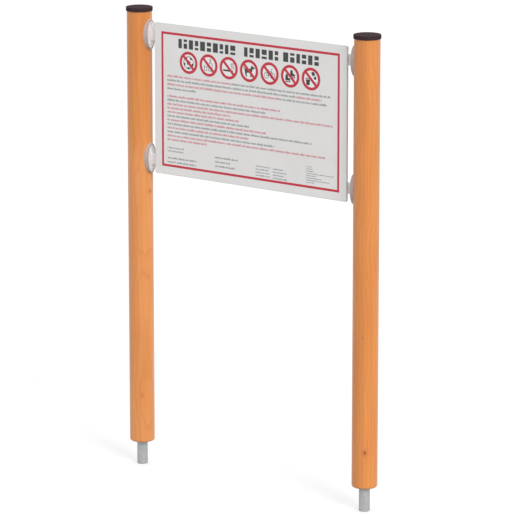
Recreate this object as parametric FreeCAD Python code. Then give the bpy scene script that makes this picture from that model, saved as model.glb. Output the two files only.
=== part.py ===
import FreeCAD, Part
import math
import os

# A park rules board: one flat panel held by four oval saddle brackets between two
# round wooden posts, each with a moulded cap and a steel tube as its ground anchor.
# The origin is midway between the posts, in the plane of the anchors' lower ends.
# +X runs along the panel to its right, the panel's printed face looks to -Y, +Z is up.
# All sizes are in millimetres.

# Posts
post_diameter = 100.0
post_length = 1758.0
post_foot_rounding = 8.0
post_head_chamfer = 2.0

# Ground anchors: steel tube, its upper part swaged narrower and driven into the post's
# foot up to the shoulder that this leaves
anchor_diameter = 42.4
anchor_spigot_diameter = 38.0
anchor_wall = 3.2
anchor_exposed = 97.0
anchor_embedded = 200.0
anchor_swage_length = 8.0
anchor_end_chamfer = 0.8
anchor_bore_clearance = 0.2

# Post caps
cap_top_thickness = 4.0
cap_skirt_wall = 2.2
cap_skirt_drop = 11.0
cap_post_clearance = 0.6
cap_edge_radius = 1.6
cap_rib_count = 12
cap_rib_width = 2.0
cap_rib_clearance = 0.2

# Panel and its print
panel_width = 930.0
panel_height = 600.0
panel_thickness = 8.0
panel_corner_radius = 6.0
panel_below_post_head = 48.0
panel_post_gap = 35.0
film_margin = 2.0
film_thickness = 0.3

# Saddle brackets: an oval foot on the post and a tab that reaches behind the panel
bracket_inset = 53.0
foot_thickness = 10.0
foot_width = 54.0
foot_height = 120.0
foot_draft = 2.0
foot_rim_radius = 3.0
saddle_clearance = 0.2
tab_height = 43.0
tab_thickness = 5.0
tab_overlap = 28.0
tab_root_radius = 3.0
tab_tip_radius = 8.0

# Wood screws of the brackets
screw_offset = 42.0
screw_diameter = 6.0
screw_head_diameter = 12.0
screw_length = 70.0
screw_tip_length = 6.0
screw_socket_size = 3.5
screw_socket_depth = 2.2

# Bolts through the panel and the tabs, with washers and nuts behind
bolt_diameter = 6.0
bolt_head_diameter = 11.0
bolt_socket_size = 4.0
bolt_socket_depth = 2.2
bolt_end_overrun = 2.0
bolt_end_chamfer = 0.8
washer_diameter = 12.0
washer_thickness = 1.6
nut_across_flats = 10.0
nut_height = 5.0

# Clearances of the fasteners, on the radius
shank_hole_clearance = 0.3
thread_clearance = 0.05
head_seat_clearance = 0.1
head_rim_height = 0.4

# Sizes that follow from the ones above
post_radius = post_diameter / 2
post_axis_x = panel_width / 2 + panel_post_gap + post_radius
post_foot_z = anchor_exposed
post_head_z = post_foot_z + post_length
anchor_radius = anchor_diameter / 2
spigot_radius = anchor_spigot_diameter / 2
screw_radius = screw_diameter / 2
screw_head_radius = screw_head_diameter / 2
bolt_radius = bolt_diameter / 2
bolt_head_radius = bolt_head_diameter / 2

panel_top_z = post_head_z - panel_below_post_head
panel_bottom_z = panel_top_z - panel_height
bracket_heights = {
    "upper": panel_top_z - bracket_inset,
    "lower": panel_bottom_z + bracket_inset,
}

# Distances from a post's axis towards the panel, in a bracket's own frame
foot_face_x = post_radius + foot_thickness
panel_edge_x = post_radius + panel_post_gap
tab_tip_x = panel_edge_x + tab_overlap
bolt_x = (panel_edge_x + tab_tip_x) / 2

# Planes from back to front: the tab stands astride the posts' middle plane
tab_back_y = tab_thickness / 2
panel_back_y = -tab_thickness / 2
panel_front_y = panel_back_y - panel_thickness

# Points closer than this are at the same place
same_place = 1e-3

sides = {"left": -1, "right": 1}
X = FreeCAD.Vector(1, 0, 0)
Y = FreeCAD.Vector(0, 1, 0)
Z = FreeCAD.Vector(0, 0, 1)
ORIGIN = FreeCAD.Vector(0, 0, 0)


# General shapes

def revolved(profile, direction, base=ORIGIN):
    """Turn a closed outline of (radius, height) points about a line along direction."""
    points = [FreeCAD.Vector(radius, 0, height) for radius, height in profile]
    face = Part.Face(Part.makePolygon(points + points[:1]))
    solid = face.revolve(ORIGIN, Z, 360)
    turn = FreeCAD.Rotation(Z, direction)
    solid.Placement = FreeCAD.Placement(base, turn)
    return solid


def cylinder(radius, length, base, direction):
    return Part.makeCylinder(radius, length, base, direction)


def box_between(low, high):
    size = [high[i] - low[i] for i in range(3)]
    return Part.makeBox(size[0], size[1], size[2], FreeCAD.Vector(*low))


def level_rims(shape, z):
    """Round edges of a shape that lie in the level plane at height z."""
    rims = []
    for edge in shape.Edges:
        middle = (edge.BoundBox.ZMin + edge.BoundBox.ZMax) / 2
        if edge.Closed and edge.BoundBox.ZLength < same_place and abs(middle - z) < same_place:
            rims.append(edge)
    return rims


def hexagon_prism(across_flats, height, base, direction):
    corner_radius = across_flats / math.sqrt(3)
    corners = []
    for i in range(6):
        angle = math.radians(60 * i)
        corners.append(FreeCAD.Vector(corner_radius * math.cos(angle), corner_radius * math.sin(angle), 0))
    prism = Part.Face(Part.makePolygon(corners + corners[:1])).extrude(Z * height)
    prism.Placement = FreeCAD.Placement(base, FreeCAD.Rotation(Z, direction))
    return prism


def rounded_plate(corners, y_front, thickness):
    """Plate in the XZ plane from corners (x, z, radius), with an arc at each rounded corner."""
    edges = []
    ends = []
    count = len(corners)
    for i in range(count):
        x, z, radius = corners[i]
        point = FreeCAD.Vector(x, y_front, z)
        before = FreeCAD.Vector(corners[i - 1][0], y_front, corners[i - 1][1]) - point
        after = FreeCAD.Vector(corners[(i + 1) % count][0], y_front, corners[(i + 1) % count][1]) - point
        before.normalize()
        after.normalize()
        reach = radius * math.tan((math.pi - before.getAngle(after)) / 2)
        bisector = before + after
        bisector.normalize()
        to_middle = radius / math.sin(before.getAngle(after) / 2) - radius
        start = point + before * reach
        end = point + after * reach
        edges.append(Part.Arc(start, point + bisector * to_middle, end).toShape())
        ends.append((start, end))
    for i in range(count):
        edges.append(Part.LineSegment(ends[i - 1][1], ends[i][0]).toShape())
    wire = Part.Wire(Part.__sortEdges__(edges))
    return Part.Face(wire).extrude(Y * thickness)


def to_side(shape, side, height=0.0):
    """Move a piece modelled about the left post's axis to its own post and height."""
    placed = shape.copy()
    if side == "right":
        placed = placed.mirror(ORIGIN, X)
    placed.translate(FreeCAD.Vector(sides[side] * post_axis_x, 0, height))
    return placed


def save(shape, name):
    shape.exportStep("parts/" + name + ".step")


# Posts, caps and anchors, modelled about the post's own axis

def screw_pilots():
    """Bores in a post for the wood screws of its two brackets."""
    bores = []
    for height in bracket_heights.values():
        for offset in (-screw_offset, screw_offset):
            start = FreeCAD.Vector(foot_face_x, 0, height + offset)
            bores.append(cylinder(screw_radius + thread_clearance, screw_length, start, -X))
    return bores


def make_post():
    post = cylinder(post_radius, post_length, FreeCAD.Vector(0, 0, post_foot_z), Z)
    post = post.makeFillet(post_foot_rounding, level_rims(post, post_foot_z))
    post = post.makeChamfer(post_head_chamfer, level_rims(post, post_head_z))
    anchor_bore = cylinder(
        spigot_radius + anchor_bore_clearance, anchor_embedded, FreeCAD.Vector(0, 0, post_foot_z), Z
    )
    return post.cut([anchor_bore] + screw_pilots())


def make_anchor():
    """Tube with a narrower upper part, so that the post stands on the shoulder below it."""
    length = anchor_exposed + anchor_embedded
    profile = [
        (anchor_radius - anchor_wall, 0),
        (anchor_radius - anchor_end_chamfer, 0),
        (anchor_radius, anchor_end_chamfer),
        (anchor_radius, anchor_exposed - anchor_end_chamfer),
        (anchor_radius - anchor_end_chamfer, anchor_exposed),
        (spigot_radius, anchor_exposed),
        (spigot_radius, length - anchor_end_chamfer),
        (spigot_radius - anchor_end_chamfer, length),
        (spigot_radius - anchor_wall, length),
        (spigot_radius - anchor_wall, anchor_exposed),
        (anchor_radius - anchor_wall, anchor_exposed - anchor_swage_length),
    ]
    return revolved(profile, Z)


def make_cap():
    """Moulded cap: a flat top, a skirt over the post's head and ribs that grip the wood."""
    skirt_inner = post_radius + cap_post_clearance
    skirt_outer = skirt_inner + cap_skirt_wall
    top_z = post_head_z + cap_top_thickness
    skirt_z = post_head_z - cap_skirt_drop
    cap = cylinder(skirt_outer, top_z - skirt_z, FreeCAD.Vector(0, 0, skirt_z), Z)
    cap = cap.makeFillet(cap_edge_radius, level_rims(cap, top_z))
    cap = cap.cut(cylinder(skirt_inner, cap_skirt_drop, FreeCAD.Vector(0, 0, skirt_z), Z))
    rib_reach = post_radius + cap_rib_clearance
    rib = box_between(
        (rib_reach, -cap_rib_width / 2, skirt_z),
        (skirt_inner + cap_skirt_wall / 2, cap_rib_width / 2, post_head_z),
    )
    ribs = []
    for i in range(cap_rib_count):
        turned = rib.copy()
        turned.rotate(ORIGIN, Z, 360 * i / cap_rib_count)
        ribs.append(turned)
    return cap.fuse(ribs).removeSplitter()


# Saddle bracket, modelled about the post's axis with the panel towards +X and
# the middle of its height at zero

def oval(width, height, x):
    """Upright oval outline in the plane at distance x from the post's axis."""
    ellipse = Part.Ellipse(ORIGIN, height / 2, width / 2)
    wire = Part.Wire(ellipse.toShape())
    upright = FreeCAD.Rotation(Z, -Y, X, "ZXY")
    wire.Placement = FreeCAD.Placement(FreeCAD.Vector(x, 0, 0), upright)
    return wire


def saddle_foot():
    """Oval foot with drafted sides and a rounded rim, hollowed to sit on the round post."""
    saddle_radius = post_radius + saddle_clearance
    side_reach = math.sqrt(saddle_radius ** 2 - (foot_width / 2) ** 2)
    root_x = side_reach - foot_draft * 2
    foot = Part.makeLoft(
        [oval(foot_width + 2 * foot_draft, foot_height + 2 * foot_draft, root_x),
         oval(foot_width, foot_height, foot_face_x)],
        True,
        True,
    )
    rim = [e for e in foot.Edges if abs(e.BoundBox.XMin - foot_face_x) < same_place]
    foot = foot.makeFillet(foot_rim_radius, rim)
    seat = cylinder(saddle_radius, 2 * foot_height, FreeCAD.Vector(0, 0, -foot_height), Z)
    return foot.cut(seat)


def tab():
    """Upright plate from the foot towards the panel's back, with its free corners rounded."""
    half = tab_height / 2
    root_x = foot_face_x - foot_thickness / 2
    plate = box_between((root_x, panel_back_y, -half), (tab_tip_x, tab_back_y, half))
    tips = []
    for edge in plate.Edges:
        box = edge.BoundBox
        if abs(box.XMin - tab_tip_x) < same_place and box.YLength > same_place:
            tips.append(edge)
    return plate.makeFillet(tab_tip_radius, tips)


def countersunk_hole(screw_size, head_size, depth, base, direction):
    """Hole of the given depth with a wide mouth at base, for a screw with a flat head."""
    radius = screw_size + shank_hole_clearance
    head = head_size + head_seat_clearance
    profile = [
        (0, 0),
        (head, 0),
        (head, head_rim_height),
        (radius, head_rim_height + head - radius),
        (radius, depth),
        (0, depth),
    ]
    return revolved(profile, direction, base)


def foot_holes():
    """Countersunk holes for the two wood screws, one above and one below the tab."""
    holes = []
    for offset in (-screw_offset, screw_offset):
        mouth = FreeCAD.Vector(foot_face_x, 0, offset)
        holes.append(countersunk_hole(screw_radius, screw_head_radius, 2 * foot_thickness, mouth, -X))
    return holes


def make_bracket():
    body = saddle_foot().fuse(tab()).removeSplitter()
    roots = []
    for edge in body.Edges:
        box = edge.BoundBox
        in_face = box.XLength < same_place and abs(box.XMin - foot_face_x) < same_place
        reach = max(box.YMax, -box.YMin)
        rise = max(box.ZMax, -box.ZMin)
        if in_face and reach < tab_back_y + same_place and rise < tab_height / 2 + same_place:
            roots.append(edge)
    body = body.makeFillet(tab_root_radius, roots)
    bolt_hole = cylinder(
        bolt_radius + shank_hole_clearance, tab_thickness, FreeCAD.Vector(bolt_x, panel_back_y, 0), Y
    )
    return body.cut([bolt_hole] + foot_holes())


# Fasteners

def countersunk_head(head_radius, shank_radius):
    """First points of a fastener's outline, from its face down to its shank."""
    return [
        (0, 0),
        (head_radius, 0),
        (head_radius, head_rim_height),
        (shank_radius, head_rim_height + head_radius - shank_radius),
    ]


def make_bracket_screws():
    profile = countersunk_head(screw_head_radius, screw_radius) + [
        (screw_radius, screw_length - screw_tip_length),
        (0, screw_length),
    ]
    screws = []
    for offset in (-screw_offset, screw_offset):
        base = FreeCAD.Vector(foot_face_x, 0, offset)
        screw = revolved(profile, -X, base)
        screws.append(screw.cut(hexagon_prism(screw_socket_size, screw_socket_depth, base, -X)))
    return Part.makeCompound(screws)


def make_bolt():
    grip = tab_back_y - panel_front_y
    length = grip + washer_thickness + nut_height + bolt_end_overrun
    profile = countersunk_head(bolt_head_radius, bolt_radius) + [
        (bolt_radius, length - bolt_end_chamfer),
        (bolt_radius - bolt_end_chamfer, length),
        (0, length),
    ]
    base = FreeCAD.Vector(bolt_x, panel_front_y, 0)
    bolt = revolved(profile, Y, base)
    return bolt.cut(hexagon_prism(bolt_socket_size, bolt_socket_depth, base, Y))


def make_washer():
    base = FreeCAD.Vector(bolt_x, tab_back_y, 0)
    disc = cylinder(washer_diameter / 2, washer_thickness, base, Y)
    return disc.cut(cylinder(bolt_radius + shank_hole_clearance, washer_thickness, base, Y))


def make_nut():
    """Hexagon nut with its corners turned off on both faces."""
    base = FreeCAD.Vector(bolt_x, tab_back_y + washer_thickness, 0)
    prism = hexagon_prism(nut_across_flats, nut_height, base, Y)
    corner_radius = nut_across_flats / math.sqrt(3)
    corner_cut = corner_radius - nut_across_flats / 2
    turned = revolved(
        [
            (0, 0),
            (corner_radius - corner_cut, 0),
            (corner_radius, corner_cut),
            (corner_radius, nut_height - corner_cut),
            (corner_radius - corner_cut, nut_height),
            (0, nut_height),
        ],
        Y,
        base,
    )
    bore = cylinder(bolt_radius + thread_clearance, nut_height, base, Y)
    return prism.common(turned).cut(bore)


# Panel and print

def make_sheet(margin, y_front, thickness):
    """Upright sheet with the panel's outline, smaller by a margin all round."""
    half_width = panel_width / 2 - margin
    low = panel_bottom_z + margin
    high = panel_top_z - margin
    radius = panel_corner_radius - margin
    corners = [
        (half_width, low, radius),
        (half_width, high, radius),
        (-half_width, high, radius),
        (-half_width, low, radius),
    ]
    return rounded_plate(corners, y_front, thickness)


def make_panel():
    panel = make_sheet(0, panel_front_y, panel_thickness)
    holes = []
    for side in sides.values():
        for height in bracket_heights.values():
            mouth = FreeCAD.Vector(side * (post_axis_x - bolt_x), panel_front_y, height)
            holes.append(countersunk_hole(bolt_radius, bolt_head_radius, panel_thickness, mouth, Y))
    return panel.cut(holes)


def make_print_film():
    """Film over the whole printed side, which also covers the bolts' heads."""
    return make_sheet(film_margin, panel_front_y - film_thickness, film_thickness)


# The assembly: one file for each piece

os.makedirs("parts", exist_ok=True)

post = make_post()
post_cap = make_cap()
ground_anchor = make_anchor()
for side in sides:
    save(to_side(post, side), "post_" + side)
    save(to_side(post_cap, side), "post_cap_" + side)
    save(to_side(ground_anchor, side), "ground_anchor_" + side)

bracket_set = {
    "bracket": make_bracket(),
    "bracket_screws": make_bracket_screws(),
    "panel_bolt": make_bolt(),
    "panel_washer": make_washer(),
    "panel_nut": make_nut(),
}
for side in sides:
    for level, height in bracket_heights.items():
        for name, shape in bracket_set.items():
            save(to_side(shape, side, height), name + "_" + level + "_" + side)

save(make_panel(), "panel")
save(make_print_film(), "print_film")
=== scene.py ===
"""A park rules board between two round pine posts, dressed for a studio view."""

import math
import random

import bmesh
import bpy
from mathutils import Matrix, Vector


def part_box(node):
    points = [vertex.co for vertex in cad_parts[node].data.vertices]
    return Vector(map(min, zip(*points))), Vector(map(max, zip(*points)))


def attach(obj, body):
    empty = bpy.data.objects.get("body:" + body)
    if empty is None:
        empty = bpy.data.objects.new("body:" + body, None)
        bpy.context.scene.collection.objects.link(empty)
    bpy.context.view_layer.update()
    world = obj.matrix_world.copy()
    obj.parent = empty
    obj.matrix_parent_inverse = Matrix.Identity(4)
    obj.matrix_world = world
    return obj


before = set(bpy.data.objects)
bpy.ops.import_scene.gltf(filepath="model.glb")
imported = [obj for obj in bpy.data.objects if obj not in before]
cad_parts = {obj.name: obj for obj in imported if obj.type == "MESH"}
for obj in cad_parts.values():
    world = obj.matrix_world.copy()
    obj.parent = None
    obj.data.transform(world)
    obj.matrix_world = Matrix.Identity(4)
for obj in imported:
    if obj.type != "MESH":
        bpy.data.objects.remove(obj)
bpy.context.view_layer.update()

MM = 0.001

# Places read from the frame
SIDES = ("left", "right")
LEVELS = ("upper", "lower")
POST_AXIS = {}
for side in SIDES:
    low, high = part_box("post_" + side)
    POST_AXIS[side] = ((low[0] + high[0]) / 2, (low[1] + high[1]) / 2)
POST_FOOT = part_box("post_left")[0][2]
POST_RADIUS = (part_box("post_left")[1][1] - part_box("post_left")[0][1]) / 2
FILM_LOW, FILM_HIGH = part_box("print_film")
FILM_FRONT = FILM_LOW[1]
PRINT_CENTRE_X = (FILM_LOW[0] + FILM_HIGH[0]) / 2
PRINT_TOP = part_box("panel")[1][2]
PRINT_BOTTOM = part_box("panel")[0][2]
PANEL_HALF_WIDTH = (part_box("panel")[1][0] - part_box("panel")[0][0]) / 2

# The brackets' oval feet: how far the face stands from the post's axis, how much the sides draw in
# towards it, and the size and place of its oval
FOOT_REACH = 60 * MM
FOOT_DRAFT = 2 * MM
FACE_HALF_WIDTH = 27 * MM
upper_foot, lower_foot = (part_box("bracket_" + level + "_left") for level in LEVELS)
FACE_HALF_HEIGHT = (upper_foot[1][2] - upper_foot[0][2]) / 2 - FOOT_DRAFT
FEET_MIDDLE = (upper_foot[0][2] + upper_foot[1][2] + lower_foot[0][2] + lower_foot[1][2]) / 4
FEET_HALF_APART = (upper_foot[0][2] - lower_foot[0][2]) / 2

# Print layout: sizes, insets from the panel's edges and distances down from its top edge
INK_THICKNESS = 0.15 * MM
INK_STEP = 0.12 * MM
BORDER_SIDE_INSET = 38.8 * MM
BORDER_END_INSET = 37 * MM
BORDER_LINE = 9.5 * MM
HEADING_TOP = 54 * MM
HEADING_HEIGHT = 36.5 * MM
SIGN_DOWN = 144 * MM
SIGN_PITCH = 98.7 * MM
SIGN_RADIUS = 43.8 * MM
SIGN_RING = 11 * MM
SIGN_SLASH = 10.5 * MM
SIGN_POINTS = 64

# Camera at the photograph's angle, with azimuth to the right of the front, in degrees
VIEW_AZIMUTH = 37.236
VIEW_ELEVATION = 12.92
VIEW_DISTANCE = 14.373
VIEW_TARGET = Vector((0.0447, 0.0, 0.9212))
VIEW_LENS = 256.2
VIEW_SENSOR = 36
VIEW_FAR = 200

# Studio light and floor, with the sun's place and softness in degrees
SUN_AZIMUTH = 65
SUN_ELEVATION = 35
SUN_SOFTNESS = 20
SUN_STRENGTH = 1.7
SKY_STRENGTH = 1.15
FLOOR_REACH = 60
FLOOR_SHADES = ((0.20, 0.20, 0.20), (0.22, 0.22, 0.22))
FLOOR_SEEN_SHADE = (0.34, 0.34, 0.34)
FLOOR_SEEN_GLOW = 0.56

# The range that a noise texture mostly keeps to
NOISE_LOW = 0.3
NOISE_HIGH = 0.7


def from_front(azimuth, elevation=0):
    """Direction at an azimuth to the right of the front and an elevation, in degrees."""
    turn = math.radians(azimuth)
    rise = math.radians(elevation)
    return Vector((math.sin(turn) * math.cos(rise), -math.cos(turn) * math.cos(rise), math.sin(rise)))


# Node trees

class Shader:
    """A material and short calls that add nodes to it."""

    def __init__(self, name):
        self.material = bpy.data.materials.new(name)
        self.material.use_nodes = True
        self.tree = self.material.node_tree
        self.surface = self.tree.nodes["Principled BSDF"]

    def add(self, kind, inputs=None, **settings):
        node = self.tree.nodes.new(kind)
        for name, value in settings.items():
            setattr(node, name, value)
        for name, value in (inputs or {}).items():
            self.feed(node.inputs[name], value)
        return node

    def feed(self, socket, value):
        if isinstance(value, bpy.types.NodeSocket):
            self.tree.links.new(value, socket)
        else:
            socket.default_value = value

    def place(self):
        return self.add("ShaderNodeTexCoord").outputs["Object"]

    def scaled(self, place, scale, shift=(0, 0, 0)):
        node = self.add("ShaderNodeMapping", {"Vector": place, "Scale": scale, "Location": shift})
        return node.outputs["Vector"]

    def vector_math(self, operation, first, second=(0, 0, 0)):
        return self.add("ShaderNodeVectorMath", {0: first, 1: second}, operation=operation).outputs

    def length(self, vector):
        return self.vector_math("LENGTH", vector)["Value"]

    def split(self, vector):
        """The X, Y and Z of a vector."""
        return self.add("ShaderNodeSeparateXYZ", {0: vector}).outputs

    def noise(self, place, scale, detail=3.0, roughness=0.55):
        inputs = {"Vector": place, "Scale": scale, "Detail": detail, "Roughness": roughness}
        return self.add("ShaderNodeTexNoise", inputs).outputs["Fac"]

    def math(self, operation, first, second=0.0, clamp=False):
        node = self.add("ShaderNodeMath", {0: first, 1: second}, operation=operation, use_clamp=clamp)
        return node.outputs[0]

    def spread(self, value, low, high, to_low=0.0, to_high=1.0):
        """Value from low to high turned into to_low to to_high, held at both ends."""
        inputs = {"Value": value, "From Min": low, "From Max": high, "To Min": to_low, "To Max": to_high}
        return self.add("ShaderNodeMapRange", inputs).outputs["Result"]

    def widen(self, noise, to_low=0.0, to_high=1.0):
        """Noise turned into the whole of to_low to to_high."""
        return self.spread(noise, NOISE_LOW, NOISE_HIGH, to_low, to_high)

    def mix(self, share, first, second, blend="MIX"):
        node = self.add("ShaderNodeMix", data_type="RGBA", blend_type=blend)
        self.feed(node.inputs["Factor"], share)
        for socket, value in ((node.inputs[6], first), (node.inputs[7], second)):
            self.feed(socket, (*value, 1) if isinstance(value, tuple) else value)
        return node.outputs[2]

    def bump(self, height, distance, strength):
        inputs = {"Height": height, "Distance": distance, "Strength": strength}
        return self.add("ShaderNodeBump", inputs).outputs["Normal"]

    def set(self, name, value):
        """A value or a socket for one of the surface's inputs."""
        self.feed(self.surface.inputs[name], value)

    def finish(self, color, roughness, normal=None, metallic=None):
        chosen = {"Base Color": color, "Roughness": roughness, "Normal": normal, "Metallic": metallic}
        for name, value in chosen.items():
            if value is not None:
                self.set(name, value)
        return self.material


# Pine: growth rings about a pith that wanders along the log, fibres, knots and end grain

PINE_COLORS = ((0.755, 0.305, 0.088), (0.665, 0.245, 0.060), (0.53, 0.165, 0.032))
POST_TINT = {"left": (1.0, 1.0, 1.0), "right": (0.91, 0.84, 0.68)}
POST_SEED = {"left": 3.1, "right": 17.4}
PINE_ROUGHNESS = (0.36, 0.5)
PINE_RELIEF = 0.22 * MM
COAT_WEIGHT = 0.35
COAT_ROUGHNESS = 0.3

# End grain, and how steeply a face looks up or down where it starts and where it is all there is
END_GRAIN = (0.36, 0.26, 0.19)
END_GRAIN_SLOPE = (0.55, 0.92)
END_GRAIN_ROUGHER = 0.25

# How fine each pattern is, per metre, across the post and along it
TONE_SCALE = (14, 14, 2.6)
STREAK_SCALE = (95, 95, 1.4)
FIBRE_SCALE = (620, 620, 9)
PORE_SCALE = (1500, 1500, 45)
WANDER_SCALE = (1.5, 1.5, 1.1)
WANDER_FINENESS = 1.6
WOBBLE_SCALE = (26, 26, 2.2)

# How strongly each pattern darkens the wood
STREAK_DEPTH = 0.3
LATE_WOOD_DEPTH = 0.34
FIBRE_DEPTH = 0.24
PORE_DEPTH = 0.3
KNOT_RIM_DEPTH = 0.45
KNOT_CORE_DEPTH = 0.85

# Growth rings: how far the post's axis lies from the pith, the rings' width, how far they stray both
# ways, and how far a knot bends them
PITH_OFFSET = {"left": (0.011, -0.006, 0), "right": (-0.009, -0.008, 0)}
RING_WIDTH = 3.6 * MM
RING_WANDER = 7 * MM
RING_WOBBLE = 1.6 * MM
RING_BEND = 3.2 * MM

# Where a ring's late wood starts, is full, starts to end and has ended, as shares of the ring
LATE_WOOD_RISE = (0.42, 0.88)
LATE_WOOD_FALL = (0.9, 1.0)

# Glaze: richer on the left post's upper part, with the change between two heights above the floor. Painted
# light: the right post made paler along the side that faces the key light, at a turn in degrees from the
# front and between two distances from the axis, as shares of the post's radius
RICH_GLAZE = (0.93, 0.85, 0.60)
RICH_GLAZE_HEIGHTS = (1.26, 1.36)
LIT_SIDE_PAINTED_LIGHT = (1.08, 1.08, 1.0)
LIT_SIDE_TURN = 60
LIT_SIDE_REACH = (0.6, 0.97)

# Knots: turn about the post in degrees from the front, height above the post's foot and radius in
# millimetres, and depth of tone. A distance along the grain counts for less, so knots are longer that way
KNOTS = {
    "left": (
        (87, 1029, 6, 0.7), (40, 198, 4, 0.35), (150, 640, 9, 1), (-96, 1260, 8, 0.9), (200, 1480, 7, 1),
    ),
    "right": (
        (36, 147, 6, 1), (24, 600, 4.5, 0.3), (135, 905, 9, 1), (-150, 430, 8, 1), (215, 1390, 9, 0.8),
    ),
}
KNOT_GRAIN_SHARE = 0.72
KNOT_CORE = (0.30, 0.045, 0.012)
KNOT_RIM = (0.47, 0.115, 0.02)


def knot_marks(shader, centred, side):
    """How strongly the rims and the cores of a post's knots show."""
    rims = 0.0
    cores = 0.0
    for turn, height, radius, depth in KNOTS[side]:
        centre = from_front(turn) * POST_RADIUS
        centre.z = POST_FOOT + height * MM
        offset = shader.vector_math("SUBTRACT", centred, centre)[0]
        reach = shader.length(shader.scaled(offset, (1, 1, KNOT_GRAIN_SHARE)))
        size = radius * MM
        rims = shader.math("ADD", rims, shader.spread(reach, size * 0.8, size * 3.0, depth, 0))
        cores = shader.math("ADD", cores, shader.spread(reach, size * 0.65, size * 1.05, depth, 0))
    return rims, cores


def growth_rings(shader, centred, side, rims):
    """Late wood: darkens through each ring and ends sharply, bent aside by the knots' rims."""
    seed = POST_SEED[side]
    wander = shader.noise(shader.scaled(centred, WANDER_SCALE, (seed, 0, seed)), WANDER_FINENESS, 2)
    wobble = shader.noise(shader.scaled(centred, WOBBLE_SCALE, (0, seed, 0)), 1.0, 3)
    radius = shader.length(shader.scaled(centred, (1, 1, 0), PITH_OFFSET[side]))
    radius = shader.math("ADD", radius, shader.widen(wander, -RING_WANDER, RING_WANDER))
    radius = shader.math("ADD", radius, shader.spread(wobble, 0.2, 0.8, -RING_WOBBLE, RING_WOBBLE))
    radius = shader.math("SUBTRACT", radius, shader.math("MULTIPLY", rims, RING_BEND))
    phase = shader.math("FRACT", shader.math("DIVIDE", radius, RING_WIDTH))
    rise = shader.spread(phase, *LATE_WOOD_RISE)
    fall = shader.spread(phase, *LATE_WOOD_FALL, 1, 0)
    return shader.math("MULTIPLY", shader.math("POWER", rise, 2.0), fall)


def glaze_and_painted_light(shader, centred, side, color):
    """The colour with the left post's change of glaze, or with painted light along the right post's lit
    side.
    """
    if side == "left":
        share = shader.spread(shader.split(centred)["Z"], *RICH_GLAZE_HEIGHTS)
        return shader.mix(share, color, RICH_GLAZE, "MULTIPLY")
    # Painted light: the right post paler on the side that faces the key light
    out = shader.vector_math("DOT_PRODUCT", centred, from_front(LIT_SIDE_TURN))["Value"]
    share = shader.spread(out, *(POST_RADIUS * part for part in LIT_SIDE_REACH))
    return shader.mix(share, color, LIT_SIDE_PAINTED_LIGHT, "MULTIPLY")


def pine(side):
    shader = Shader("glazed_pine_" + side)
    pale, warm, late_wood = (
        tuple(part * tint for part, tint in zip(color, POST_TINT[side])) for color in PINE_COLORS
    )
    axis_x, axis_y = POST_AXIS[side]
    centred = shader.scaled(shader.place(), (1, 1, 1), (-axis_x, -axis_y, 0))
    rims, cores = knot_marks(shader, centred, side)
    late = growth_rings(shader, centred, side, rims)

    # Fibres and broad changes of tone
    seed = POST_SEED[side]
    fibres = shader.noise(shader.scaled(centred, FIBRE_SCALE, (seed, seed, 0)), 1.0, 4, 0.6)
    pores = shader.noise(shader.scaled(centred, PORE_SCALE, (seed, 0, 0)), 1.0, 2)
    streaks = shader.noise(shader.scaled(centred, STREAK_SCALE, (0, 0, seed)), 1.0, 3)
    tone = shader.noise(shader.scaled(centred, TONE_SCALE, (seed, 0, 0)), 1.0, 2)

    color = shader.mix(shader.widen(tone), warm, pale)
    color = shader.mix(shader.spread(streaks, 0.42, 0.75, 0, STREAK_DEPTH), color, late_wood)
    color = shader.mix(shader.math("MULTIPLY", late, LATE_WOOD_DEPTH), color, late_wood)
    color = shader.mix(shader.spread(fibres, 0.35, 0.8, 0, FIBRE_DEPTH), color, late_wood)
    color = shader.mix(shader.spread(pores, 0.6, 0.72, 0, PORE_DEPTH), color, late_wood)
    color = glaze_and_painted_light(shader, centred, side, color)
    color = shader.mix(shader.math("MULTIPLY", rims, KNOT_RIM_DEPTH, clamp=True), color, KNOT_RIM)
    color = shader.mix(shader.math("MULTIPLY", cores, KNOT_CORE_DEPTH, clamp=True), color, KNOT_CORE)

    # End grain on the foot and head, greyer than the glazed sides
    normal = shader.add("ShaderNodeNewGeometry").outputs["Normal"]
    end_share = shader.spread(shader.math("ABSOLUTE", shader.split(normal)["Z"]), *END_GRAIN_SLOPE)
    end_color = shader.mix(shader.math("MULTIPLY", late, 0.6), END_GRAIN, late_wood)
    color = shader.mix(end_share, color, end_color)

    roughness = shader.spread(fibres, 0.2, 0.8, *PINE_ROUGHNESS)
    rougher = shader.math("MULTIPLY", end_share, END_GRAIN_ROUGHER)
    roughness = shader.math("ADD", roughness, rougher)
    height = shader.math("ADD", shader.math("MULTIPLY", fibres, 0.5), shader.math("MULTIPLY", late, 0.6))
    height = shader.math("SUBTRACT", height, shader.math("MULTIPLY", cores, 0.5))
    height = shader.math("SUBTRACT", height, shader.spread(pores, 0.6, 0.72, 0, 0.5))
    shader.set("Coat Weight", COAT_WEIGHT)
    shader.set("Coat Roughness", COAT_ROUGHNESS)
    return shader.finish(color, roughness, shader.bump(height, PINE_RELIEF, 0.55))


# Moulded plastics of the caps and brackets

CAP_COLOR = (0.039, 0.025, 0.027)
CAP_WORN_COLOR = (0.059, 0.041, 0.043)
CAP_ROUGHNESS = (0.8, 0.92)
CAP_GLOSS = 0.04
CAP_GRAIN = 1100
CAP_RELIEF = 0.09 * MM

# The flanks' browner greys are painted shade with a painted warm bounce from the wood, and the rim's dark
# grey is a painted shade line
BRACKET_FLANK_PAINTED_SHADES = ((0.44, 0.35, 0.32), (0.50, 0.405, 0.38))
BRACKET_RIM_PAINTED_SHADE = (0.27, 0.215, 0.205)
BRACKET_FACES = ((0.67, 0.61, 0.60), (0.73, 0.67, 0.66))
BRACKET_SCUFFS = (0.62, 0.56, 0.55)
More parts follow.
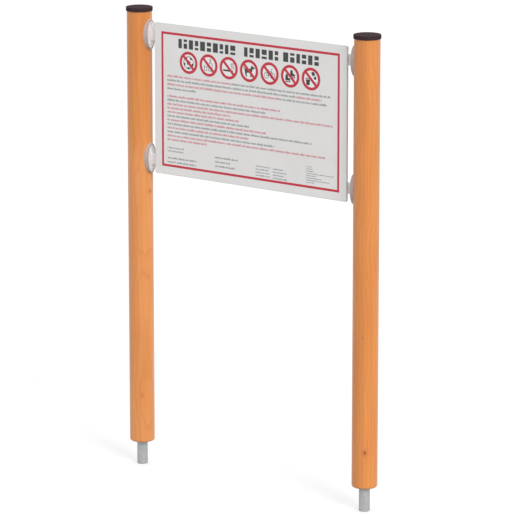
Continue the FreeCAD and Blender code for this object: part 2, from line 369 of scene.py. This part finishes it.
# Painted light: the tab's paler grey, lighter than the face of the same moulding
BRACKET_TAB_PAINTED_LIGHT = (0.83, 0.775, 0.765)
BRACKET_ROUGHNESS = (0.38, 0.5)
BRACKET_GRAIN = 1700
BRACKET_RELIEF = 0.07 * MM

SCUFF_SCALE = (60, 60, 210)
SCUFF_RANGE = (0.62, 0.78)

# Where a bracket's painted shade and light change: the face's edge as shares of its oval, then the painted
# dark rim line's distances before the face's plane, the painted pale tab's past it, and how far both of
# these stray
FACE_EDGE = (0.84, 0.90)
RIM_BEFORE_FACE = (3.5 * MM, 2 * MM)
TAB_PAST_FACE = (0.5 * MM, 6 * MM)
TONE_STRAY = 0.5 * MM


def wear(shader, place):
    """Faint clouding, and the scuffs that handling leaves."""
    cloud = shader.noise(place, 38, 3)
    scuffs = shader.noise(shader.scaled(place, SCUFF_SCALE), 1.0, 5, 0.7)
    return cloud, scuffs


def cap_plastic():
    """Dark plastic: a fine spark-eroded grain, faint clouding and paler handling marks."""
    shader = Shader("dark_cap_plastic")
    place = shader.place()
    cloud, scuffs = wear(shader, place)
    color = shader.mix(shader.widen(cloud, 0, 0.35), CAP_COLOR, CAP_WORN_COLOR)
    color = shader.mix(shader.spread(scuffs, *SCUFF_RANGE, 0, 0.5), color, CAP_WORN_COLOR)
    grain = shader.bump(shader.noise(place, CAP_GRAIN, 2), CAP_RELIEF, 0.6)
    shader.set("Specular IOR Level", CAP_GLOSS)
    return shader.finish(color, shader.widen(cloud, *CAP_ROUGHNESS), grain)


def oval_reach(shader, place):
    """Distance from the middle of the nearest foot's face, as a share of its oval outline."""
    along = shader.split(place)
    aside = shader.math("DIVIDE", along["Y"], FACE_HALF_WIDTH)
    above = shader.math("ABSOLUTE", shader.math("SUBTRACT", along["Z"], FEET_MIDDLE))
    above = shader.math("DIVIDE", shader.math("SUBTRACT", above, FEET_HALF_APART), FACE_HALF_HEIGHT)
    squares = (shader.math("POWER", shader.math("ABSOLUTE", part), 2.0) for part in (aside, above))
    return shader.math("SQRT", shader.math("ADD", *squares))


def bracket_plastic():
    """Grey nylon: a pale face with scuffs, a tab made paler with painted light, flanks made browner with
    painted shade, and a painted dark line round the rim.
    """
    shader = Shader("grey_bracket_nylon")
    place = shader.place()
    cloud, scuffs = wear(shader, place)
    clouding = shader.widen(cloud)
    across = shader.math("ABSOLUTE", shader.split(place)["X"])
    reach = shader.math("SUBTRACT", POST_AXIS["right"][0], across)
    reach = shader.math("ADD", reach, shader.widen(cloud, -TONE_STRAY, TONE_STRAY))

    rim_from, rim_to = (FOOT_REACH - distance for distance in RIM_BEFORE_FACE)
    # Painted shade: the flanks towards the post darker and browner, with a darker painted line just before
    # the face's rim
    painted_flank_shade = shader.mix(clouding, *BRACKET_FLANK_PAINTED_SHADES)
    painted_flank_shade = shader.mix(shader.spread(reach, rim_from, rim_to, 0, 0.6), painted_flank_shade, BRACKET_RIM_PAINTED_SHADE)

    tab_from, tab_to = (FOOT_REACH + distance for distance in TAB_PAST_FACE)
    face = shader.mix(clouding, *BRACKET_FACES)
    face = shader.mix(shader.spread(scuffs, *SCUFF_RANGE, 0, 0.4), face, BRACKET_SCUFFS)
    # Painted light: the tab made paler than the face
    face = shader.mix(shader.spread(reach, tab_from, tab_to), face, BRACKET_TAB_PAINTED_LIGHT)

    # Painted shade also round the face's outer edge, where the flank colour takes over
    color = shader.mix(shader.spread(oval_reach(shader, place), *FACE_EDGE, 1, 0), painted_flank_shade, face)
    grain = shader.bump(shader.noise(place, BRACKET_GRAIN, 2), BRACKET_RELIEF, 0.6)
    return shader.finish(color, shader.widen(cloud, *BRACKET_ROUGHNESS), grain)


# Board, film and ink

PANEL_GREYS = ((0.56, 0.585, 0.585), (0.60, 0.62, 0.62))
PANEL_ROUGHNESS = (0.5, 0.62)
PANEL_RELIEF = 0.03 * MM
SAW_MARK_SCALE = (700, 30, 700)

FILM_GREYS = ((0.715, 0.71, 0.70), (0.755, 0.745, 0.74))
FILM_ROUGHNESS = (0.36, 0.5)
FILM_RELIEF = 0.012 * MM
RAIN_MARKS = (0.64, 0.64, 0.62)
RAIN_MARK_SCALE = (90, 90, 9)

INK_ROUGHNESS = (0.36, 0.46)

# Each ink fresh and faded
INKS = {
    "red": ((0.50, 0.018, 0.04), (0.54, 0.035, 0.06)),
    "text_red": ((0.57, 0.21, 0.24), (0.62, 0.27, 0.30)),
    "text_grey": ((0.25, 0.28, 0.275), (0.31, 0.34, 0.335)),
    "footer_grey": ((0.26, 0.27, 0.28), (0.33, 0.34, 0.35)),
    "heading": ((0.028, 0.034, 0.033), (0.048, 0.055, 0.054)),
    "field": ((0.80, 0.79, 0.79), (0.77, 0.76, 0.76)),
    "figures": ((0.02, 0.025, 0.025), (0.045, 0.05, 0.05)),
}


def panel_board():
    """Grey sheet with a fine orange-peel face and light saw marks that show on its edges."""
    shader = Shader("grey_panel_board")
    place = shader.place()
    peel = shader.noise(place, 900, 2)
    saw = shader.noise(shader.scaled(place, SAW_MARK_SCALE), 1.0, 2)
    cloud = shader.noise(place, 9, 3)
    color = shader.mix(shader.widen(cloud), *PANEL_GREYS)
    height = shader.math("ADD", peel, shader.math("MULTIPLY", saw, 0.4))
    relief = shader.bump(height, PANEL_RELIEF, 0.5)
    return shader.finish(color, shader.widen(cloud, *PANEL_ROUGHNESS), relief)


def print_film():
    """Laminated grey print: nearly even, with faint handling and rain marks in its gloss."""
    shader = Shader("laminated_print_film")
    place = shader.place()
    cloud = shader.noise(place, 7, 3)
    rain = shader.noise(shader.scaled(place, RAIN_MARK_SCALE), 1.0, 4, 0.65)
    fine = shader.noise(place, 1300, 2)
    color = shader.mix(shader.widen(cloud), *FILM_GREYS)
    color = shader.mix(shader.spread(rain, 0.6, 0.8, 0, 0.18), color, RAIN_MARKS)
    roughness = shader.spread(rain, 0.3, 0.75, *FILM_ROUGHNESS)
    return shader.finish(color, roughness, shader.bump(fine, FILM_RELIEF, 0.5))


def ink(name):
    """Printed ink under the laminate, slightly uneven in strength."""
    fresh, faded = INKS[name]
    shader = Shader("ink_" + name)
    place = shader.place()
    cloud = shader.noise(place, 30, 3)
    screen = shader.noise(place, 2200, 1)
    tint = shader.mix(shader.spread(cloud, 0.35, 0.7, 0, 0.5), fresh, faded)
    tint = shader.mix(shader.spread(screen, 0.5, 0.8, 0, 0.25), tint, faded)
    return shader.finish(tint, shader.widen(cloud, *INK_ROUGHNESS))


# Metals

ZINC_GREYS = ((0.36, 0.365, 0.37), (0.47, 0.475, 0.48))
ZINC_DULL = (0.46, 0.46, 0.46)
ZINC_CRYSTALS = 170.0
ZINC_ROUGHNESS = (0.42, 0.6)
ZINC_RELIEF = 0.04 * MM
ZINC_METALLIC = 0.55

STEEL_GREYS = ((0.52, 0.52, 0.51), (0.63, 0.62, 0.61))
STEEL_ROUGHNESS = (0.28, 0.45)
STEEL_RELIEF = 0.02 * MM
STEEL_METALLIC = 0.9
LINES_ALONG_X = (200, 2600, 2600)
LINES_ALONG_Y = (2600, 200, 2600)


def zinc():
    """Hot-dip zinc: pale crystals of slightly different greys, dull in patches."""
    shader = Shader("hot_dip_zinc")
    place = shader.place()
    crystals = shader.add("ShaderNodeTexVoronoi", {"Vector": place, "Scale": ZINC_CRYSTALS})
    flakes = shader.add("ShaderNodeSeparateColor", {0: crystals.outputs["Color"]}).outputs[0]
    cloud = shader.noise(place, 45, 4)
    color = shader.mix(flakes, *ZINC_GREYS)
    color = shader.mix(shader.spread(cloud, 0.45, 0.75, 0, 0.5), color, ZINC_DULL)
    roughness = shader.spread(flakes, 0, 1, *ZINC_ROUGHNESS)
    height = shader.math("ADD", flakes, shader.math("MULTIPLY", cloud, 2))
    return shader.finish(color, roughness, shader.bump(height, ZINC_RELIEF, 0.4), ZINC_METALLIC)


def stainless(name, line_scale):
    """Bright steel with fine lines, close together across the direction they run in."""
    shader = Shader(name)
    place = shader.place()
    lines = shader.noise(shader.scaled(place, line_scale), 1.0, 3)
    cloud = shader.noise(place, 300, 2)
    color = shader.mix(shader.widen(cloud), *STEEL_GREYS)
    relief = shader.bump(lines, STEEL_RELIEF, 0.4)
    return shader.finish(color, shader.widen(lines, *STEEL_ROUGHNESS), relief, STEEL_METALLIC)


# Flat printed shapes, as thin plates on the film

class Plates:
    """Thin plates that share one mesh and one ink.

    Outlines are (across, down) in metres, from the panel's middle line and top edge.
    """

    def __init__(self, name, material, layer=0):
        self.name = name
        self.material = material
        self.front = FILM_FRONT - INK_THICKNESS - layer * INK_STEP
        self.mesh = bmesh.new()

    def point(self, across, down, depth):
        return self.mesh.verts.new((PRINT_CENTRE_X + across, depth, PRINT_TOP - down))

    def loops(self, outline):
        front = [self.point(across, down, self.front) for across, down in outline]
        back = [self.point(across, down, FILM_FRONT) for across, down in outline]
        return front, back

    def wall(self, front, back):
        count = len(front)
        for i in range(count):
            j = (i + 1) % count
            self.mesh.faces.new((front[i], front[j], back[j], back[i]))

    def shape(self, outline):
        front, back = self.loops(outline)
        self.mesh.faces.new(front)
        self.mesh.faces.new(back[::-1])
        self.wall(front, back)

    def frame(self, outer, inner):
        """A closed band between two outlines with the same number of points."""
        outer_front, outer_back = self.loops(outer)
        inner_front, inner_back = self.loops(inner)
        count = len(outer)
        for i in range(count):
            j = (i + 1) % count
            self.mesh.faces.new((outer_front[i], outer_front[j], inner_front[j], inner_front[i]))
            self.mesh.faces.new((inner_back[i], inner_back[j], outer_back[j], outer_back[i]))
        self.wall(outer_front, outer_back)
        self.wall(inner_back, inner_front)

    def block(self, across, down, width, height):
        self.shape([
            (across, down), (across + width, down), (across + width, down + height), (across, down + height)
        ])

    def disc(self, across, down, radius, points):
        self.shape(circle(across, down, radius, points))

    def ring(self, across, down, radius, line, points):
        self.frame(circle(across, down, radius, points), circle(across, down, radius - line, points))

    def stroke(self, path, line):
        """A line of even width along a path of (across, down) points, square at its ends."""
        left = []
        right = []
        last = len(path) - 1
        for i, point in enumerate(path):
            before = Vector(path[max(i - 1, 0)])
            after = Vector(path[min(i + 1, last)])
            along = (after - before).normalized()
            aside = Vector((-along.y, along.x)) * line / 2
            left.append(tuple(Vector(point) + aside))
            right.append(tuple(Vector(point) - aside))
        self.shape(left + right[::-1])

    def done(self):
        bmesh.ops.recalc_face_normals(self.mesh, faces=self.mesh.faces)
        mesh = bpy.data.meshes.new(self.name)
        self.mesh.to_mesh(mesh)
        self.mesh.free()
        mesh.materials.append(self.material)
        piece = bpy.data.objects.new(self.name, mesh)
        bpy.context.collection.objects.link(piece)
        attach(piece, "root")


def circle(across, down, radius, points):
    turns = [2 * math.pi * i / points for i in range(points)]
    return [(across + radius * math.cos(t), down + radius * math.sin(t)) for t in turns]


def arc(across, down, radius, start, end, points):
    """Points along an arc, with its angles in degrees, clockwise from the right."""
    turns = [math.radians(start + (end - start) * i / (points - 1)) for i in range(points)]
    return [(across + radius * math.cos(t), down + radius * math.sin(t)) for t in turns]


def rectangle(half_width, top, bottom):
    return [(-half_width, top), (half_width, top), (half_width, bottom), (-half_width, bottom)]


# Border

def make_border(red):
    border = Plates("print_border", red)
    panel_height = PRINT_TOP - PRINT_BOTTOM
    half = PANEL_HALF_WIDTH - BORDER_SIDE_INSET
    near = BORDER_LINE / 2
    top = BORDER_END_INSET
    bottom = panel_height - BORDER_END_INSET
    outer = rectangle(half + near, top - near, bottom + near)
    inner = rectangle(half - near, top + near, bottom - near)
    border.frame(outer, inner)
    border.done()


# Heading

# Where each group of blocks starts and ends, in millimetres from the middle
HEADING_GROUPS = ((-346, -50), (-24, 140), (164, 346))

# A block's widths, and where the slit block is cut, as shares of the heading's height
HEADING_WIDTHS = (0.46, 0.56, 0.66)
HEADING_CUTS = (0.26, 0.42, 0.56)

HEADING_GAP = HEADING_HEIGHT * 0.25
HEADING_SLIT = HEADING_HEIGHT * 0.18
HEADING_LEAST_WIDTH = HEADING_HEIGHT * 0.4
HEADING_SEED = 2


def make_heading(dark):
    """Plain blocks of three widths, every other one slit across."""
    rhythm = random.Random(HEADING_SEED)
    heading = Plates("print_heading", dark)
    for start, end in HEADING_GROUPS:
        across = start * MM
        slit_next = False
        while across < end * MM - HEADING_LEAST_WIDTH:
            width = min(HEADING_HEIGHT * rhythm.choice(HEADING_WIDTHS), end * MM - across)
            if slit_next:
                upper = HEADING_HEIGHT * rhythm.choice(HEADING_CUTS)
                lower = HEADING_HEIGHT - upper - HEADING_SLIT
                heading.block(across, HEADING_TOP, width, upper)
                heading.block(across, HEADING_TOP + upper + HEADING_SLIT, width, lower)
            else:
                heading.block(across, HEADING_TOP, width, HEADING_HEIGHT)
            slit_next = not slit_next
            across += width + HEADING_GAP
    heading.done()


# Rows of small blocks in groups, in millimetres from the panel's left and top edges

ROWS_SEED = 5
ROWS_LEFT = 62.2
ROW_HEIGHT = 6.4

# How far down the middle of each paragraph's first row lies, and the step to the next row
FIRST_DOWN = 205.9
FIRST_PITCH = 16.5
SECOND_DOWN = 285.5
SECOND_PITCH = 15.73

# Each row: its ink, in the first paragraph where that changes to the other ink, and where the row ends
FIRST_PARAGRAPH = (("red", 381, 856), ("grey", 688, 811), ("red", 606, 841), ("grey", 208, 208))
SECOND_PARAGRAPH = (
    ("red", 615), ("grey", 546), ("red", 865), ("red", 377), ("red", 415), ("grey", 470),
    ("red", 546), ("grey", 768), ("red", 467), ("grey", 586), ("red", 830), ("red", 258),
)

# Each block of the footer: the left ends of its rows, the middle of its first row, the step to the next
# row, and where each row ends
FOOTER_BLOCKS = (
    {"left": 62, "down": 491.5, "pitch": 13.3, "ends": (148, 143)},
    {"left": 62, "down": 532.5, "pitch": 16.0, "ends": (205, 205)},
    {"left": 298, "down": 503.5, "pitch": 17.0, "ends": (411, 372, 398)},
    {"left": 497, "down": 513, "pitch": 12.0, "ends": (567, 560, 563, 566)},
    {"left": 580, "down": 515, "pitch": 12.0, "ends": (630, 645, 636, 652)},
    {"left": 740, "down": 485, "pitch": 8.8, "ends": (766, 770, 776, 872, 790, 812, 850, 778)},
)
FOOTER_HEIGHT_SHARE = 0.34

# The blocks of a row, as shares of its height
BLOCK_WIDTHS = (0.3, 0.62)
BLOCK_GAP = 0.16
GROUP_GAP = 0.55
TALL_BLOCK = 1.38
TALL_BLOCK_CHANCE = 0.22
GROUP_COUNTS = (2, 4, 5, 6, 7, 8, 9, 10, 11)


def block_row(target, rhythm, left, right, baseline, height):
    """Small blocks in groups from left to right. Returns where the next group would start."""
    across = left
    while across < right:
        for i in range(rhythm.choice(GROUP_COUNTS)):
            width = height * rhythm.uniform(*BLOCK_WIDTHS)
            if across + width > right:
                return across
            rise = height * (TALL_BLOCK if rhythm.random() < TALL_BLOCK_CHANCE else 1.0)
            target.block(across - PANEL_HALF_WIDTH, baseline - rise, width, rise)
            across += width + height * BLOCK_GAP
        across += height * GROUP_GAP
    return across


def make_paragraphs(rhythm, red, grey):
    plates = {"red": Plates("print_text_red", red), "grey": Plates("print_text_grey", grey)}
    other = {"red": "grey", "grey": "red"}
    left = ROWS_LEFT * MM
    height = ROW_HEIGHT * MM
    for row, (tone, turn, end) in enumerate(FIRST_PARAGRAPH):
        baseline = (FIRST_DOWN + row * FIRST_PITCH) * MM + height / 2
        reached = block_row(plates[tone], rhythm, left, turn * MM, baseline, height)
        block_row(plates[other[tone]], rhythm, reached, end * MM, baseline, height)
    for row, (tone, end) in enumerate(SECOND_PARAGRAPH):
        baseline = (SECOND_DOWN + row * SECOND_PITCH) * MM + height / 2
        block_row(plates[tone], rhythm, left, end * MM, baseline, height)
    for piece in plates.values():
        piece.done()


def make_footer(rhythm, grey):
    footer = Plates("print_footer", grey)
    for block in FOOTER_BLOCKS:
        height = block["pitch"] * FOOTER_HEIGHT_SHARE * MM
        for row, end in enumerate(block["ends"]):
            baseline = (block["down"] + row * block["pitch"]) * MM + height / 2
            block_row(footer, rhythm, block["left"] * MM, end * MM, baseline, height)
    footer.done()


# Round signs with their figures

class Figure:
    """Draws on plates in millimetres, across and down from the middle of a round sign."""

    def __init__(self, plates, centre):
        self.plates = plates
        self.centre = centre

    def at(self, across, down):
        return self.centre + across * MM, SIGN_DOWN + down * MM

    def shape(self, outline):
        self.plates.shape([self.at(*point) for point in outline])

    def frame(self, outer, inner):
        self.plates.frame([self.at(*point) for point in outer], [self.at(*point) for point in inner])

    def stroke(self, path, line):
        self.plates.stroke([self.at(*point) for point in path], line * MM)

    def disc(self, across, down, radius, points):
        self.plates.disc(*self.at(across, down), radius * MM, points)

    def ring(self, across, down, radius, line, points):
        self.plates.ring(*self.at(across, down), radius * MM, line * MM, points)


def turned(radius, turn):
    """The point at a radius from the middle and a turn in degrees, clockwise from the top."""
    angle = math.radians(turn)
    return radius * math.sin(angle), -radius * math.cos(angle)


def draw_ball(figure):
    figure.ring(0, 0, 25, 2.2, SIGN_POINTS)
    figure.shape([turned(10, 72 * i) for i in range(5)])
    for i in range(5):
        middle = 36 + 72 * i
        left = middle - 17
        right = middle + 17
        figure.shape([
            turned(16, middle), turned(20, right), turned(24, right), turned(24, left), turned(20, left)
        ])


def draw_bottle(figure):
    outside = ((6, -26), (12, -26), (12, -12), (19, -4), (19, 22), (-1, 22), (-1, -4), (6, -12))
    inside = ((8, -24), (10, -24), (10, -11), (17, -3), (17, 20), (1, 20), (1, -3), (8, -11))
    figure.frame(outside, inside)
    figure.stroke(((-22, 0), (-19, 22), (-9, 22), (-6, 0)), 2.2)
    figure.stroke(((-21, 7), (-7, 7)), 1.8)


def draw_cigarette(figure):
    figure.stroke(((-27, 10), (12, 10)), 7)
    figure.stroke(((15, 10), (20, 10)), 7)
    for shift in (0, 8):
        figure.stroke([(14 + shift + 3.5 * math.sin(i * 0.75), 2 - i * 2.3) for i in range(11)], 2.2)


def draw_dog(figure):
    figure.shape((
        (-24, -15), (-21, -6), (-17, -8), (6, -8), (11, -19), (15, -22), (17, -18), (27, -14),
        (26, -9), (17, -8), (15, 2), (12, 6), (12, 24), (7, 24), (6, 8), (-9, 7), (-12, 13),
        (-10, 24), (-15, 24), (-19, 12), (-20, 1), (-27, -12),
    ))


def draw_bicycle(figure):
    for hub in (-15, 15):
        figure.ring(hub, 8, 12, 2, 40)
    figure.stroke(((-15, 8), (-7, -8), (9, -8), (15, 8)), 2)
    figure.stroke(((-7, -8), (-1, 8), (9, -8)), 2)
    figure.stroke(((-15, 8), (-1, 8)), 2)
    figure.stroke(((-11, -13), (-3, -13)), 2.4)
    figure.stroke(((9, -8), (7, -17), (14, -18)), 2)


def draw_skates(figure):
    boot = ((-10, -14), (1, -14), (2, -2), (12, 2), (13, 9), (-11, 9))
    for across, down in ((-12, 8), (11, -10)):
        figure.shape([(x + across, y + down) for x, y in boot])
        for wheel in (-7, 1, 9):
            figure.disc(wheel + across, 13.5 + down, 3.2, 16)


def draw_litter(figure):
    figure.shape(((-24, 3), (-4, 3), (-7, 25), (-21, 25)))
    figure.stroke(((-27, -1), (-1, -1)), 3)
    figure.shape(((1, -26), (14, -29), (20, -16), (7, -12)))
    figure.shape(((13, -9), (23, -12), (26, -1), (16, 2)))
    figure.stroke(((6, 14), (14, 9), (18, 16), (25, 11)), 3)


PICTOGRAMS = (draw_ball, draw_bottle, draw_cigarette, draw_dog, draw_bicycle, draw_skates, draw_litter)


def make_signs(red, black, white):
    """A row of round signs: a white field, a figure on it, and a ring with a slash over both."""
    fields = Plates("print_sign_fields", white)
    figures = Plates("print_pictograms", black, layer=1)
    rings = Plates("print_prohibition_rings", red, layer=2)
    inside = SIGN_RADIUS - SIGN_RING
    half_slash = math.degrees(math.asin(SIGN_SLASH / 2 / inside))
    for i, draw in enumerate(PICTOGRAMS):
        centre = (i - (len(PICTOGRAMS) - 1) / 2) * SIGN_PITCH
        fields.disc(centre, SIGN_DOWN, SIGN_RADIUS - SIGN_RING / 2, SIGN_POINTS)
        draw(Figure(figures, centre))
        rings.ring(centre, SIGN_DOWN, SIGN_RADIUS, SIGN_RING, SIGN_POINTS)
        low_end = arc(centre, SIGN_DOWN, inside, 45 - half_slash, 45 + half_slash, 5)
        high_end = arc(centre, SIGN_DOWN, inside, 225 - half_slash, 225 + half_slash, 5)
        rings.shape(low_end + high_end)
    fields.done()
    figures.done()
    rings.done()


def make_print():
    inks = {name: ink(name) for name in INKS}
    make_border(inks["red"])
    make_heading(inks["heading"])
    make_signs(inks["red"], inks["figures"], inks["field"])
    rhythm = random.Random(ROWS_SEED)
    make_paragraphs(rhythm, inks["text_red"], inks["text_grey"])
    make_footer(rhythm, inks["footer_grey"])


# Materials on the CAD nodes

def paint(name, material):
    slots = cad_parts[name].data.materials
    for i in range(len(slots)):
        slots[i] = material
    if not slots:
        slots.append(material)


def paint_nodes():
    cap = cap_plastic()
    bracket = bracket_plastic()
    screw_steel = stainless("stainless_screw", LINES_ALONG_X)
    bolt_steel = stainless("stainless_bolt", LINES_ALONG_Y)
    anchor = zinc()
    for side in SIDES:
        paint("post_" + side, pine(side))
        paint("post_cap_" + side, cap)
        paint("ground_anchor_" + side, anchor)
        for level in LEVELS:
            where = "_" + level + "_" + side
            paint("bracket" + where, bracket)
            paint("bracket_screws" + where, screw_steel)
            for kind in ("bolt", "washer", "nut"):
                paint("panel_" + kind + where, bolt_steel)
    paint("panel", panel_board())
    paint("print_film", print_film())


# Studio

def make_floor():
    """Pale floor, white to the camera, that keeps the object's shadow."""
    shader = Shader("studio_floor")
    ray = shader.add("ShaderNodeLightPath")
    seen = shader.math("MAXIMUM", ray.outputs["Is Camera Ray"], ray.outputs["Is Glossy Ray"])
    grain = shader.noise(shader.place(), 60, 3)
    shade = shader.mix(shader.widen(grain), *FLOOR_SHADES)
    shader.set("Emission Color", (1, 1, 1, 1))
    shader.set("Emission Strength", shader.math("MULTIPLY", seen, FLOOR_SEEN_GLOW))
    shader.set("Specular IOR Level", 0)
    mesh = bpy.data.meshes.new("floor")
    corners = [(x * FLOOR_REACH, y * FLOOR_REACH, 0) for x, y in ((-1, -1), (1, -1), (1, 1), (-1, 1))]
    mesh.from_pydata(corners, [], [(0, 1, 2, 3)])
    mesh.materials.append(shader.finish(shader.mix(seen, shade, FLOOR_SEEN_SHADE), 0.8))
    floor = bpy.data.objects.new("floor", mesh)
    bpy.context.collection.objects.link(floor)


def make_world():
    """Even sky, and plain white to the camera, to mirrors and through glass."""
    world = bpy.data.worlds.new("studio_light")
    world.use_nodes = True
    bpy.context.scene.world = world
    tree = world.node_tree
    ray = tree.nodes.new("ShaderNodeLightPath")
    seen = ray.outputs["Is Camera Ray"]
    for kind in ("Is Glossy Ray", "Is Transmission Ray"):
        either = tree.nodes.new("ShaderNodeMath")
        either.operation = "MAXIMUM"
        tree.links.new(seen, either.inputs[0])
        tree.links.new(ray.outputs[kind], either.inputs[1])
        seen = either.outputs[0]
    strength = tree.nodes.new("ShaderNodeMapRange")
    strength.inputs["To Min"].default_value = SKY_STRENGTH
    strength.inputs["To Max"].default_value = 1.0
    tree.links.new(seen, strength.inputs["Value"])
    background = tree.nodes["Background"]
    tree.links.new(strength.outputs["Result"], background.inputs["Strength"])
    background.inputs["Color"].default_value = (1, 1, 1, 1)


def make_sun():
    lamp = bpy.data.lights.new("key_light", "SUN")
    lamp.energy = SUN_STRENGTH
    lamp.angle = math.radians(SUN_SOFTNESS)
    source = from_front(SUN_AZIMUTH, SUN_ELEVATION)
    light = bpy.data.objects.new("key_light", lamp)
    light.rotation_euler = source.to_track_quat("Z", "Y").to_euler()
    bpy.context.collection.objects.link(light)


def make_camera():
    lens = bpy.data.cameras.new("camera")
    lens.lens = VIEW_LENS
    lens.sensor_width = VIEW_SENSOR
    lens.clip_end = VIEW_FAR
    camera = bpy.data.objects.new("camera", lens)
    back = from_front(VIEW_AZIMUTH, VIEW_ELEVATION)
    camera.location = VIEW_TARGET + back * VIEW_DISTANCE
    camera.rotation_euler = back.to_track_quat("Z", "Y").to_euler()
    bpy.context.collection.objects.link(camera)
    bpy.context.scene.camera = camera


# The scene

paint_nodes()
make_print()
make_floor()
make_world()
make_sun()
make_camera()

view_settings = bpy.context.scene.view_settings
view_settings.view_transform = "Standard"
